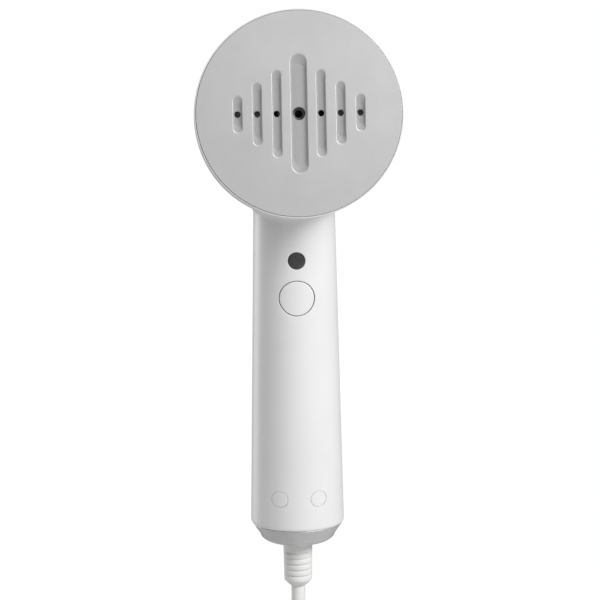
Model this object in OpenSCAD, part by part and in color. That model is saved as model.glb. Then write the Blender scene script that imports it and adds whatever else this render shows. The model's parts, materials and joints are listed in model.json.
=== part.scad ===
/* [Handle] */
// Lean of the handle from the plane of the steam plate, in degrees
handle_tilt = 12; // [11:0.5:13]
// Diameter of the handle at the middle of the grip
grip_d = 45.4; // [45:0.2:47]
// Radius gained per millimetre towards the foot
handle_taper = 0.02; // [0.015:0.0025:0.025]
// Thickness of the handle and head shells
shell_wall = 2.2; // [2:0.1:2.4]
// Distance from the middle of the grip down to the end cap's seam
foot_drop = 61.6; // [61:0.2:63]
// Length of the rounded end cap
end_cap_h = 11.3; // [11:0.1:12]
// Length of the strain relief outside the cap
relief_len = 22.3; // [20:0.1:26]

/* [Head] */
// Outside diameter of the head at its front rim
head_d = 102.2; // [101.8:0.2:104]
// Diameter of the steam plate
plate_d = 100.6; // [99:0.2:100.6]
// Height of the head's axis above the middle of the grip
head_z = 145; // [144:0.5:147]
// Distance from the handle's pivot plane to the steam plate's face
plate_reach = 100; // [100:0.5:102]
// Length of the head from the plate's face to the tank's rear face
head_len = 128; // [127:0.5:130]

/* [Steam plate] */
// Distance between neighbouring groove centres, measured from the middle
groove_x = [0, 10.8, 20.4, 30];
// Length of the grooves, from the middle outwards
groove_len = [58.5, 42.8, 30.8, 18.2];
// Depth of the grooves
groove_depth = 1.5; // [1:0.1:2]
// Width of the middle groove
wide_groove = 8.1; // [7:0.1:9]
// Width of the other grooves
slim_groove = 4.5; // [4:0.1:5]
// Diameter of the middle steam hole
wide_hole_d = 6; // [5:0.1:6.4]
// Diameter of the other steam holes
slim_hole_d = 2.8; // [2:0.1:3.2]

/* [Controls] */
// Height of the steam button's centre along the handle
button_s = 60.6; // [60:0.2:62]
// Diameter of the steam button
button_d = 17.5; // [17:0.1:17.6]
// Travel of the steam button
button_travel = 1.6; // [1:0.1:1.6]
// Height of the indicator lens along the handle
lens_s = 79.9; // [79:0.1:80.5]
// Diameter of the indicator lens
lens_d = 8.8; // [8:0.1:9]
// Distance of the screw plugs below the middle of the grip
plug_drop = 43.8; // [43:0.2:45]
// Distance of each screw plug from the handle's middle
plug_x = 9.9; // [9.5:0.1:10.2]
// Diameter of the screw plugs
plug_d = 8; // [7.6:0.1:8.1]

/* [Cord] */
// Diameter of the mains cord
cord_d = 7.2; // [6.8:0.1:7.2]
// Number of turns in the hank
hank_turns = 5; // [4:1:5]

/* [Hidden] */
$fn = 96;
white = "whitesmoke";
silver = "silver";
steel = "lightsteelblue";
rubber = "dimgray";

// Handle: distances along its axis are called s, with s = 0 at the middle of the grip
function handle_r(s) = grip_d / 2 - handle_taper * s;
function from_handle(p) = [
    p[0],
    p[1] * cos(handle_tilt) - p[2] * sin(handle_tilt),
    p[1] * sin(handle_tilt) + p[2] * cos(handle_tilt)
];
foot_s = -foot_drop;
foot_edge_h = 2.6;
foot_inset = 1.3;
foot_r = handle_r(foot_s) - foot_inset;
handle_top_s = 112;
neck_low_s = 86;
neck_r = 18.2;
neck_bore_r = 16.6;
cap_low_s = foot_s - end_cap_h;
cap_cone_h = 6.3;
cap_cone_r = 19.1;
cap_spigot_h = 7;
relief_bore_r = cord_d / 2 + 0.05;
relief_top_r = 7.5;
relief_end_r = 7.1;
relief_neck_r = 6;
plug_s = -plug_drop;
tower_r = 5.6;
screw_seat_y = -10;

// Head: distances along its axis are world y
front_y = -plate_reach;
rim_y = front_y + 0.4;
rim_end_y = front_y + 6.4;
plate_back_y = front_y + 3.5;
shelf_y = front_y + 5;
boiler_back_y = front_y + 20;
cover_front_y = boiler_back_y + 1;
cover_back_y = cover_front_y + 3;
shell_back_y = 2;
head_curve = 6 / pow(95.6, 2);
function head_r(y) = head_d / 2 - head_curve * pow(max(0, y - rim_end_y), 2);
tank_back_y = front_y + head_len;
tank_gap = 0.4;
tank_wall = 2.2;
tank_edge = 12;
nose_r = 41.8;
nose_front_y = -15;
nose_end_y = 5;
dock_y = -19;
valve_z = -28;
cap_z = 16;
cap_r = 10.6;
cap_depth = 2;
cap_gap = 0.8;
hinge_z = cap_z + 12.6;
hinge_y = tank_back_y - 1.8;

// Pump, placed in the handle behind the grip
pump_low_s = -12;
pump_top_s = 38;
pump_tube_r = 6.5;
piston_r = 5;
rib_s = [-8, 34];
rib_x = 11;

// Control board, facing the front
board_y = -5;
board_t = 1.6;

// Cord: the points of its route, from inside the end cap down to the hank
lead_route = [
    [0, 13.3, -62.6], [0, 16.6, -78.2], [0, 19.8, -93.1], [0, 21.2, -99.8],
    [-0.5, 22.6, -106.5], [-2.2, 24, -115], [-4.9, 25.1, -124], [-8, 26, -133],
    [-11, 26.5, -142], [-13.4, 26.8, -151], [-14.6, 26.8, -160], [-14.8, 26.8, -170]
];
// The rest of its route, from the hank's last fold to the plug
tail_route = [
    [16.7, -6.2, -151], [18.5, 4.8, -148], [20.3, 17.8, -151.5], [22, 27.3, -161],
    [23.6, 30.8, -174], [25, 30.4, -184], [26.4, 28.8, -194], [27.6, 26.6, -203],
    [28.5, 25, -211], [28.9, 24.2, -218], [29, 24, -224]
];
hank_pitch = 7.4;
fold_r = 22;
hank_y = 4.8;
hank_top_z = -170;
hank_low_z = -266;
hank_half_x = hank_pitch * (hank_turns - 1) / 2 + cord_d / 2 + 0.1;
tie_z = -190;
tie_w = 12;
tie_t = 1.8;
plug_at = tail_route[len(tail_route) - 1];

module in_handle() {
    rotate([handle_tilt, 0, 0]) children();
}

// Children's z becomes world y, and their y points down from the head's axis
module in_head() {
    translate([0, 0, head_z]) rotate([-90, 0, 0]) children();
}

// A rod along the handle's front direction, from y_in to y_out
module front_rod(x, s, y_in, y_out, r) {
    translate([x, y_in, s]) rotate([90, 0, 0]) cylinder(r = r, h = y_in - y_out);
}

// A rod along the head's axis, at a height z above it
module head_rod(x, z, y_front, y_back, r) {
    translate([x, -z, y_front]) cylinder(r = r, h = y_back - y_front);
}

module ring(r_in, r_out, low, high) {
    translate([0, 0, low]) difference() {
        cylinder(r = r_out, h = high - low);
        translate([0, 0, -1]) cylinder(r = r_in, h = high - low + 2);
    }
}

function unit(v) = v / norm(v);

// A round tube swept along points; side is a vector that no stretch runs along
module tube(points, r, sides, side = [1, 0, 0]) {
    n = len(points);
    runs = [for (i = [0:n - 1]) unit(points[min(i + 1, n - 1)] - points[max(i - 1, 0)])];
    across = [for (t = runs) unit(cross(t, side))];
    rings = [
        for (i = [0:n - 1], k = [0:sides - 1])
            points[i] + r * (cos(360 * k / sides) * across[i]
                + sin(360 * k / sides) * cross(runs[i], across[i]))
    ];
    walls = [
        for (i = [0:n - 2], k = [0:sides - 1], half = [0, 1])
            let (a = i * sides + k, b = i * sides + (k + 1) % sides)
            (half == 0) ? [a, b, b + sides] : [a, b + sides, a + sides]
    ];
    start = [for (k = [0:sides - 1]) sides - 1 - k];
    finish = [for (k = [0:sides - 1]) (n - 1) * sides + k];
    polyhedron(points = rings, faces = concat([start], [finish], walls), convexity = 6);
}

// A coil spring along z
module coil(r, wire, low, high, turns) {
    steps = turns * 12;
    points = [
        for (i = [0:steps])
            [r * cos(30 * i), r * sin(30 * i), low + (high - low) * i / steps]
    ];
    tube(points, wire / 2, 6, [0, 0, 1]);
}

module handle_solid(inset, low, high) {
    rotate_extrude() polygon([
        [0, low], [handle_r(low) - inset, low],
        [handle_r(high) - inset, high], [0, high]
    ]);
}

// The outside of the handle, with its rounded foot
module handle_outside() {
    edge_s = foot_s + foot_edge_h;
    edge_r = handle_r(edge_s);
    rotate_extrude() polygon(concat(
        [[0, handle_top_s], [0, foot_s]],
        [for (a = [0:15:90]) [foot_r + (edge_r - foot_r) * sin(a), edge_s - foot_edge_h * cos(a)]],
        [[handle_r(handle_top_s), handle_top_s]]
    ));
}

// The outside of the head as a solid of revolution, from the rim to y
module head_solid(inset, y_from, y_to) {
    steps = 8;
    rotate_extrude() polygon(concat(
        [[0, y_to], [0, y_from], [head_r(y_from) - inset, y_from]],
        [for (i = [0:steps])
            let (y = max(rim_end_y, y_from) + (y_to - max(rim_end_y, y_from)) * i / steps)
            [head_r(y) - inset, y]]
    ));
}

module steam_plate() {
    bevel = 0.5;
    r = plate_d / 2;
    color(silver) in_head() difference() {
        rotate_extrude() polygon([
            [0, front_y], [r - bevel, front_y], [r, front_y + bevel],
            [r, plate_back_y], [0, plate_back_y]
        ]);
        for (i = [0:3], side = [-1, 1]) {
            if (i > 0 || side > 0) groove(side * groove_x[i], groove_len[i], i);
        }
    }
}

module groove(x, length, i) {
    w = (i == 0) ? wide_groove : slim_groove;
    hole_d = (i == 0) ? wide_hole_d : slim_hole_d;
    reach = (length - w) / 2;
    top = groove_depth + 1;
    translate([x - w / 2, -reach, front_y - 1]) cube([w, 2 * reach, top]);
    head_rod(x, reach, front_y - 1, front_y + groove_depth, w / 2);
    head_rod(x, -reach, front_y - 1, front_y + groove_depth, w / 2);
    head_rod(x, 0, front_y - 1, plate_back_y + 1, hole_d / 2);
}

module plate_seal() {
    color(rubber) in_head() ring(48.3, plate_d / 2 - 0.2, plate_back_y, shelf_y);
}

module head_shell() {
    color(white) union() {
        difference() {
            in_head() difference() {
                head_solid(0, rim_y, shell_back_y);
                translate([0, 0, rim_y - 1]) cylinder(r = plate_d / 2 + 0.1, h = shelf_y - rim_y + 1);
                head_solid(shell_wall + 0.7, shelf_y - 1, shell_back_y + 0.01);
                translate([0, 0, dock_y + 2]) cylinder(r = head_r(shell_back_y) - shell_wall, h = 40);
            }
            neck_bore();
        }
        difference() {
            in_handle() ring(neck_bore_r, neck_r, neck_low_s, handle_top_s);
            in_head() head_solid(0.8, rim_y, shell_back_y + 1);
        }
    }
}

// The way from the handle into the front part of the head
module neck_bore() {
    intersection() {
        in_handle() translate([0, 0, neck_low_s - 10]) cylinder(r = neck_bore_r, h = 50);
        translate([-30, -60, 60]) cube([60, 60 + dock_y, 60]);
    }
}

module heat_shield() {
    color(steel) in_head() {
        ring(44.4, 45.2, shelf_y + 1, boiler_back_y + 16);
        ring(37, 45.2, boiler_back_y + 16, boiler_back_y + 16.8);
    }
}

module shield_ring() {
    color("tan") in_head() ring(45.25, 47.4, shelf_y + 2, shelf_y + 6);
}

element_r = 33;
element_tube_r = 3.5;
screw_circle_r = 40;
chamber_r = 24;

module boiler_block() {
    color("gray") in_head() difference() {
        translate([0, 0, plate_back_y]) cylinder(r = 43, h = boiler_back_y - plate_back_y);
        translate([0, 0, boiler_back_y - 10]) cylinder(r = chamber_r, h = 11);
        ring(element_r - 3.7, element_r + 3.7, boiler_back_y - 11, boiler_back_y + 1);
        translate([-33, -4, plate_back_y - 1]) cube([66, 8, 4]);
        for (x = [-12, 0, 12]) head_rod(x, 0, plate_back_y - 1, boiler_back_y - 5, 2);
        on_screw_circle() translate([0, 0, boiler_back_y - 12]) cylinder(r = 1.5, h = 13);
    }
}

module on_screw_circle() {
    for (a = [0:60:300]) rotate([0, 0, a]) translate([screw_circle_r, 0, 0]) children();
}

pin_x = element_r * cos(60);
pin_z = -element_r * sin(60);

module heating_element() {
    color("dimgray") in_head() {
        translate([0, 0, boiler_back_y - 6.5]) rotate([0, 0, 120])
            rotate_extrude(angle = 300) translate([element_r, 0]) circle(r = element_tube_r);
        for (side = [-1, 1]) head_rod(side * pin_x, pin_z, boiler_back_y - 6.5, cover_back_y + 8, 1.2);
    }
}

module boiler_gasket() {
    color("firebrick") in_head() ring(chamber_r + 0.5, chamber_r + 4, boiler_back_y, cover_front_y);
}

inlet_z = -12;

module boiler_cover() {
    color("darkgray") in_head() difference() {
        union() {
            translate([0, 0, cover_front_y]) cylinder(r = 43, h = cover_back_y - cover_front_y);
            head_rod(0, inlet_z, cover_back_y - 1, cover_back_y + 10, 2.6);
        }
        head_rod(0, inlet_z, cover_front_y - 1, cover_back_y + 11, 1.5);
        for (side = [-1, 1]) head_rod(side * pin_x, pin_z, cover_front_y - 1, cover_back_y + 1, 2.2);
        on_screw_circle() translate([0, 0, cover_front_y - 1]) cylinder(r = 1.6, h = 6);
    }
}

module boiler_screws() {
    color(steel) in_head() on_screw_circle() {
        translate([0, 0, boiler_back_y - 10]) cylinder(r = 1.45, h = 14.5);
        difference() {
            translate([0, 0, cover_back_y]) cylinder(r = 2.6, h = 2);
            translate([-0.4, -3, cover_back_y + 1.2]) cube([0.8, 6, 2]);
        }
    }
}

module thermostat() {
    color("black") in_head() {
        head_rod(16, 12, cover_back_y, cover_back_y + 1, 10);
        head_rod(16, 12, cover_back_y + 1, cover_back_y + 8, 8);
        for (x = [11, 19]) translate([x, -15, cover_back_y + 8]) cube([2, 6, 6]);
    }
}

module thermal_fuse() {
    color("wheat") in_head() {
        translate([-27, -20, cover_back_y]) cube([3, 8, 6]);
        translate([-13, -20, cover_back_y]) cube([3, 8, 6]);
        translate([-24, -16, cover_back_y + 3]) rotate([0, 90, 0]) cylinder(r = 2.4, h = 11);
    }
}

pressure_route = concat(
    [for (p = [[0, 0, 48], [0, 0, 50.5], [1.6, 1, 54], [5, 3, 60], [9, 5, 67], [10.5, 5, 76], [10.5, 3, 86], [10, -1, 95]])
        from_handle(p)],
    [[9, -26, 103], [7, -36, 114], [4, -47, 124], [1, -57, 131], [0, -62, 133], [0, -66, 133]]
);
suction_route = concat(
    [[0, -38, 117], [0, -41, 117], [-2, -44, 115], [-6, -42, 110], [-10, -35, 105], [-12, -28, 101]],
    [for (p = [[-13.6, -3, 94], [-14.1, 1.5, 85], [-14.2, 3, 74], [-14.8, 3, 60], [-16.3, 1, 44],
        [-16.3, 0, 20], [-16.3, 0, -8], [-16, 0, -17], [-13.5, 0, -25], [-9, 0, -30.5],
        [-4.5, 0, -32.3], [-1, 0, -30], [0, 0, -26], [0, 0, -22]]) from_handle(p)]
);

module pressure_hose() {
    color("lightgray") tube(pressure_route, 2.2, 8, [1, -0.2, 0.1]);
}

module suction_hose() {
    color("lightgray") tube(suction_route, 2, 8, [0, 1, 0.2]);
}

module heater_leads() {
    color("firebrick") for (side = [-1, 1]) tube([
        from_handle([side * 2.5, -6.4, 90.5]), from_handle([side * 2.5, -8, 97]),
        [side * 3, -40, 103], [side * 6, -50, 108], [side * 12, -59, 113],
        [side * pin_x, -64.5, head_z + pin_z], [side * pin_x, -68, head_z + pin_z]
    ], 1.1, 8, [1, 0, 0.3]);
}

module tank_dock() {
    socket_r = 6.2;
    color("gainsboro") in_head() difference() {
        union() {
            translate([0, 0, dock_y]) cylinder(r = 42.8, h = 2);
            head_rod(0, valve_z, dock_y - 11, dock_y + 1, 9);
            head_rod(0, valve_z, dock_y - 19, dock_y - 10, 2.6);
        }
        head_rod(0, valve_z, dock_y - 8, dock_y + 3, socket_r);
        head_rod(0, valve_z, dock_y - 20, dock_y - 7, 1.5);
    }
}

// The outside of the tank, behind the head shell, with its rounded rear edge
module tank_outside(inset, y_from) {
    edge_y = tank_back_y - tank_edge;
    edge_r = head_r(edge_y);
    rotate_extrude() polygon(concat(
        [[0, y_from], [head_r(y_from) - inset, y_from], [head_r((y_from + edge_y) / 2) - inset, (y_from + edge_y) / 2]],
        [for (a = [0:15:90]) [
            edge_r - tank_edge + (tank_edge - inset) * cos(a),
            edge_y + (tank_edge - inset) * sin(a)
        ]],
        [[0, tank_back_y - inset]]
    ));
}

module water_tank() {
    front = shell_back_y + tank_gap;
    color("lightblue") in_head() difference() {
        union() {
            difference() {
                tank_outside(0, front);
                translate([0, 0, front - 1]) cylinder(r = nose_r + 0.05, h = nose_end_y - front + 1);
                tank_outside(tank_wall, nose_end_y);
            }
            intersection() {
                tank_outside(0.5, front);
                union() {
                    head_rod(0, cap_z, tank_back_y - 6, tank_back_y - 1, 13.5);
                    translate([-8, -hinge_z - 4.5, tank_back_y - 6]) cube([16, 10, 5]);
                }
            }
        }
        head_rod(0, cap_z, tank_back_y - 10, tank_back_y + 1, 7);
        head_rod(0, cap_z, tank_back_y - cap_depth, tank_back_y + 1, cap_r + cap_gap);
        translate([-4.3, -hinge_z - 3, hinge_y - 2.3]) cube([8.6, 6.7, 6]);
        translate([-6.5, -hinge_z, hinge_y]) rotate([0, 90, 0]) cylinder(r = 1.02, h = 13);
    }
}

module tank_front() {
    color("lightblue") in_head() difference() {
        ring_cup();
        head_rod(0, valve_z, nose_front_y - 1, nose_front_y + 3, 5.05);
    }
}

module ring_cup() {
    difference() {
        translate([0, 0, nose_front_y]) cylinder(r = nose_r, h = nose_end_y - nose_front_y);
        translate([0, 0, nose_front_y + 2]) cylinder(r = nose_r - 2, h = nose_end_y - nose_front_y);
    }
}

module filler_cap() {
    color(white) in_head() difference() {
        union() {
            head_rod(0, cap_z, tank_back_y - cap_depth + 0.1, tank_back_y - 0.1, cap_r);
            translate([-4, -hinge_z, tank_back_y - cap_depth + 0.1]) cube([8, 4, cap_depth - 0.2]);
            translate([-4, -hinge_z, hinge_y]) rotate([0, 90, 0]) cylinder(r = 2, h = 8);
        }
        translate([-5, -hinge_z, hinge_y]) rotate([0, 90, 0]) cylinder(r = 1.08, h = 10);
        translate([-4, -cap_z + cap_r - 2, tank_back_y - 0.9]) cube([8, 1.2, 2]);
    }
}

module cap_seal() {
    color(rubber) in_head() head_rod(0, cap_z, tank_back_y - cap_depth - 3.4, tank_back_y - cap_depth + 0.1, 6.4);
}

module cap_pin() {
    color(steel) in_head() translate([-6.4, -hinge_z, hinge_y]) rotate([0, 90, 0]) cylinder(r = 1, h = 12.8);
}

module tank_valve() {
    y_tip = nose_front_y - 10;
    color("silver") in_head() difference() {
        union() {
            head_rod(0, valve_z, y_tip, nose_front_y + 4, 5);
            head_rod(0, valve_z, nose_front_y + 2, nose_front_y + 4, 7);
        }
        head_rod(0, valve_z, y_tip - 1, y_tip + 2, 1.8);
        head_rod(0, valve_z, y_tip + 1, y_tip + 13, 3.3);
        head_rod(0, valve_z, y_tip + 12, y_tip + 15, 1.15);
        translate([-2.9, -valve_z - 0.5, y_tip + 12]) cube([5.8, 1, 3]);
        translate([0, -valve_z, 0]) ring(4.05, 6, y_tip + 1.5, y_tip + 3.7);
    }
}

module valve_poppet() {
    y_seat = nose_front_y - 9;
    color("white") in_head() {
        head_rod(0, valve_z, y_seat + 0.1, y_seat + 1.6, 2.9);
        head_rod(0, valve_z, y_seat + 1.5, y_seat + 14, 1.08);
    }
}

module valve_spring() {
    y_seat = nose_front_y - 9;
    color(steel) in_head() translate([0, -valve_z, 0]) coil(2.3, 0.5, y_seat + 1.9, y_seat + 10.7, 5);
}

module tank_o_ring() {
    color("black") in_head() translate([0, -valve_z, nose_front_y - 10 + 2.6])
        rotate_extrude() translate([5.1, 0]) circle(r = 1, $fn = 32);
}

// One half of the handle's tube with its ribs; side is -1 in front and 1 behind
module handle_half(side) {
    difference() {
        union() {
            difference() {
                in_handle() handle_outside();
                in_handle() handle_solid(shell_wall, foot_s - 1, handle_top_s + 1);
            }
            in_handle() intersection() {
                handle_solid(1, foot_s + 8, handle_top_s);
                for (s = rib_s) translate([-rib_x, -30, s - 1]) cube([2 * rib_x, 60, 2]);
            }
            in_handle() intersection() {
                handle_solid(1, foot_s + 8, handle_top_s);
                for (x = [-plug_x, plug_x]) front_rod(x, plug_s, (side > 0) ? 30 : -0.2, (side > 0) ? 0.2 : -30, tower_r);
            }
        }
        in_handle() for (s = rib_s) translate([0, 0, s - 2]) cylinder(r = 12.05, h = 4);
        in_handle() translate([-40, (side > 0) ? -80 : 0, -100]) cube([80, 80, 300]);
        in_head() head_solid(0, rim_y, shell_back_y + 10);
    }
}

module handle_front() {
    post_s = 47;
    color(white) difference() {
        union() {
            handle_half(-1);
            in_handle() intersection() {
                handle_solid(1, foot_s + 8, handle_top_s);
                for (x = [-9.5, 9.5]) front_rod(x, post_s, board_y, -30, 2);
            }
        }
        in_handle() front_rod(0, button_s, 0, -30, button_d / 2 + 0.4);
        in_handle() front_rod(0, lens_s, 0, -30, lens_d / 2 + 0.05);
        for (x = [-plug_x, plug_x]) in_handle() {
            front_rod(x, plug_s, screw_seat_y, -30, plug_d / 2 + 0.1);
            front_rod(x, plug_s, 1, screw_seat_y - 1, 1.7);
        }
    }
}

module handle_rear() {
    color(white) difference() {
        handle_half(1);
        for (x = [-plug_x, plug_x]) in_handle() front_rod(x, plug_s, 12, -1, 1.5);
    }
}

module indicator_lens() {
    color("dimgray") in_handle() intersection() {
        front_rod(0, lens_s, -16.6, -30, lens_d / 2);
        handle_solid(0.3, lens_s - 10, lens_s + 10);
    }
}

module indicator_led() {
    color("tomato") in_handle() {
        front_rod(0, lens_s, board_y, board_y - 1, 2.9);
        front_rod(0, lens_s, board_y - 1, -14, 2.5);
    }
}

module steam_button() {
    flange_y = -14.8;
    color(white) in_handle() {
        intersection() {
            front_rod(0, button_s, flange_y, -30, button_d / 2);
            handle_solid(0, button_s - 12, button_s + 12);
        }
        front_rod(0, button_s, flange_y, flange_y - 1.2, 10.3);
        front_rod(0, button_s, flange_y + 2, flange_y, 2);
    }
}

module button_spring() {
    color(steel) in_handle() translate([0, -14.5, button_s]) rotate([-90, 0, 0]) coil(8.4, 0.5, 0, 9.2, 4);
}

module switch_body() {
    color("black") in_handle() difference() {
        translate([-6, board_y - 6, button_s - 3]) cube([12, 6, 6]);
        front_rod(0, button_s, board_y - 2.5, board_y - 7, 1.25);
    }
}

module switch_plunger() {
    color("red") in_handle() front_rod(0, button_s, board_y - 4.3, board_y - 6 - button_travel, 1.2);
}

module control_board() {
    color("green") in_handle() difference() {
        translate([-12, board_y, 44]) cube([24, board_t, 48]);
        for (x = [-9.5, 9.5]) front_rod(x, 47, board_y + 3, board_y - 1, 1.1);
    }
}

module board_parts() {
    back = board_y + board_t;
    color("navy") in_handle() {
        translate([-7, back, 72]) cube([13, 9, 10]);
        translate([-8, back, 58]) cube([8, 5, 10]);
        front_rod(-6.5, 52, back + 11, back, 3);
        translate([-9, back, 85]) cube([17, 6, 5]);
        front_rod(7.5, 48, back + 8, back, 2.3);
    }
}

module pump_bracket() {
    color(steel) in_handle() difference() {
        translate([-13, -12, 0]) cube([26, 24, 26]);
        translate([-11.8, -13, 1.2]) cube([23.6, 26, 23.6]);
        translate([0, 0, -1]) cylinder(r = pump_tube_r + 0.05, h = 30);
    }
}

module pump_coil() {
    color("darkorange") in_handle() ring(pump_tube_r + 0.05, 11, 1.3, 24.7);
}

module pump_tube() {
    color("ivory") in_handle() difference() {
        union() {
            translate([0, 0, pump_low_s]) cylinder(r = pump_tube_r, h = pump_top_s - pump_low_s);
            translate([0, 0, pump_low_s - 10]) cylinder(r = 2.6, h = 11);
            translate([0, 0, pump_top_s - 1]) cylinder(r = 2.6, h = 11);
        }
        translate([0, 0, pump_low_s + 2]) cylinder(r = piston_r + 0.05, h = 30.2);
        translate([0, 0, pump_low_s - 11]) cylinder(r = 1.5, h = 80);
    }
}

module pump_piston() {
    color("gray") in_handle() ring(1.5, piston_r, 2, 20);
}

module pump_spring() {
    color(steel) in_handle() coil(3.6, 0.7, pump_low_s + 2.4, 1.6, 6);
}

module pump_mounts() {
    color("black") in_handle() for (s = rib_s) ring(pump_tube_r + 0.02, 12, s - 1, s + 1);
}

module shell_screws() {
    color(steel) in_handle() for (x = [-plug_x, plug_x]) difference() {
        union() {
            front_rod(x, plug_s, screw_seat_y, screw_seat_y - 2.2, 3.2);
            front_rod(x, plug_s, 10, screw_seat_y, 1.45);
        }
        translate([x - 0.4, screw_seat_y - 3, plug_s - 2]) cube([0.8, 2, 4]);
        translate([x - 2, screw_seat_y - 3, plug_s - 0.4]) cube([4, 2, 0.8]);
    }
}

module screw_plugs() {
    color(white) in_handle() intersection() {
        for (x = [-plug_x, plug_x]) front_rod(x, plug_s, -14, -30, plug_d / 2);
        handle_solid(0, plug_s - 10, plug_s + 10);
    }
}

// Outside of the end cap: a cone from the seam, then a rounded base
function cap_profile(inset) = concat(
    [[foot_r - inset, foot_s]],
    [for (a = [0:15:90])
        let (base_r = relief_top_r + 0.5, h = end_cap_h - cap_cone_h)
        [base_r + (cap_cone_r - base_r) * cos(a) - inset * cos(a), foot_s - cap_cone_h - (h - inset) * sin(a)]]
);

module end_cap() {
    color(silver) in_handle() difference() {
        union() {
            rotate_extrude() polygon(concat([[0, foot_s]], cap_profile(0), [[0, cap_low_s]]));
            translate([0, 0, foot_s - 0.5]) cylinder(r = handle_r(foot_s) - shell_wall - 0.15, h = cap_spigot_h);
        }
        difference() {
            union() {
                rotate_extrude() polygon(concat([[0, foot_s]], cap_profile(2), [[0, cap_low_s + 2]]));
                translate([0, 0, foot_s - 1]) cylinder(r = handle_r(foot_s) - shell_wall - 2, h = 20);
            }
            difference() {
                translate([-9, 4, cap_low_s]) cube([18, 5, 10.5]);
                translate([0, 0, cap_low_s]) cylinder(r = 8.1, h = 3.7);
            }
        }
        translate([0, 0, cap_low_s - 1]) cylinder(r = relief_neck_r + 0.05, h = 5);
        for (x = [-6.5, 6.5]) front_rod(x, -64.5, 8, 3, 1.25);
    }
}

module strain_relief() {
    grooves = 5;
    pitch = 3.1;
    low = cap_low_s - relief_len;
    color(white) in_handle() difference() {
        union() {
            rotate_extrude() polygon([
                [0, cap_low_s], [relief_top_r, cap_low_s],
                [relief_end_r, low + 2.5], [4.8, low], [0, low]
            ]);
            translate([0, 0, cap_low_s - 0.5]) cylinder(r = relief_neck_r, h = 2.5);
            translate([0, 0, cap_low_s + 2]) cylinder(r = 8, h = 1.6);
        }
        translate([0, 0, low - 1]) cylinder(r = relief_bore_r, h = 40);
        for (i = [0:grooves - 1]) ring(6.3, 9, cap_low_s - 4.6 - pitch * i, cap_low_s - 3.8 - pitch * i);
    }
}

module cord_clamp() {
    color("gainsboro") in_handle() difference() {
        translate([-9, -8, -66.5]) cube([18, 4.2, 4]);
        for (x = [-6.5, 6.5]) front_rod(x, -64.5, 0, -10, 1.35);
    }
}

module clamp_screws() {
    color(steel) in_handle() for (x = [-6.5, 6.5]) {
        front_rod(x, -64.5, 7, -8, 1.2);
        front_rod(x, -64.5, -8, -9.6, 2.3);
    }
}

module terminal_block() {
    color("ivory") in_handle() difference() {
        translate([-10, 3, -59]) cube([20, 9, 8]);
        for (x = [-6, 0, 6]) front_rod(x, -55, 10, 2, 1.8);
    }
}

module mains_leads() {
    color("saddlebrown") in_handle() for (side = [-1, 1]) tube([
        [side * 1.7, 0, -63.4], [side * 1.9, 0.5, -62.2], [side * 2.6, 2.4, -61],
        [side * 3.8, 5, -60.2], [side * 4, 6, -59.8], [side * 4, 6, -59.1]
    ], 1.1, 8);
}

module power_cord() {
    color(white) tube(lead_route, cord_d / 2, 12);
}

module cord_tail() {
    color(white) tube(tail_route, cord_d / 2, 12, [0, 1, 0]);
}

// The hank's outline is a loop with round ends, standing in the plane of y and z
module cord_hank() {
    r = fold_r + cord_d / 2;
    color(white) translate([-hank_half_x, 0, 0]) rotate([90, 0, 90]) linear_extrude(2 * hank_half_x) {
        translate([hank_y, hank_top_z]) circle(r = r);
        translate([hank_y, hank_low_z]) circle(r = r);
        translate([hank_y - r, hank_low_z]) square([2 * r, hank_top_z - hank_low_z]);
    }
}

module hank_tie() {
    x = hank_half_x + 0.05;
    y = fold_r + cord_d / 2 + 0.05;
    color("black") translate([0, hank_y, tie_z - tie_w / 2]) difference() {
        translate([-x - tie_t, -y - tie_t, 0]) cube([2 * (x + tie_t), 2 * (y + tie_t), tie_w]);
        translate([-x, -y, -1]) cube([2 * x, 2 * y, tie_w + 2]);
    }
}

plug_len = 38;
plug_w = 24;
plug_t = 15;

module plug_body() {
    neck = 14;
    color(white) translate(plug_at) {
        translate([0, 0, -neck]) cylinder(r1 = 6.4, r2 = 5, h = neck);
        hull() {
            translate([0, 0, -neck]) cylinder(r = 6.6, h = 1, $fn = 32);
            for (side = [-1, 1]) translate([0, side * (plug_w / 2 - 4), -plug_len]) cylinder(r = 4, h = 16, $fn = 32);
            translate([-plug_t / 2, -6, -plug_len]) cube([plug_t, 12, 14]);
        }
    }
}

module plug_blades() {
    color("gold") for (side = [-1, 1]) translate(plug_at + [-3.15, side * 6.35 - 0.75, -plug_len - 17])
        cube([6.3, 1.5, 17]);
}

steam_plate();
plate_seal();
head_shell();
heat_shield();
shield_ring();
boiler_block();
heating_element();
boiler_gasket();
boiler_cover();
boiler_screws();
thermostat();
thermal_fuse();
pressure_hose();
suction_hose();
heater_leads();
tank_dock();
water_tank();
tank_front();
filler_cap();
cap_seal();
cap_pin();
tank_valve();
valve_poppet();
valve_spring();
tank_o_ring();
handle_front();
handle_rear();
indicator_lens();
indicator_led();
steam_button();
button_spring();
switch_body();
switch_plunger();
control_board();
board_parts();
pump_bracket();
pump_coil();
pump_tube();
pump_piston();
pump_spring();
pump_mounts();
shell_screws();
screw_plugs();
end_cap();
strain_relief();
cord_clamp();
clamp_screws();
terminal_block();
mains_leads();
power_cord();
cord_hank();
cord_tail();
hank_tie();
plug_body();
plug_blades();
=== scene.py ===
import json
import math
from contextlib import contextmanager

import bmesh
import bpy
from mathutils import Matrix, Vector


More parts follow.
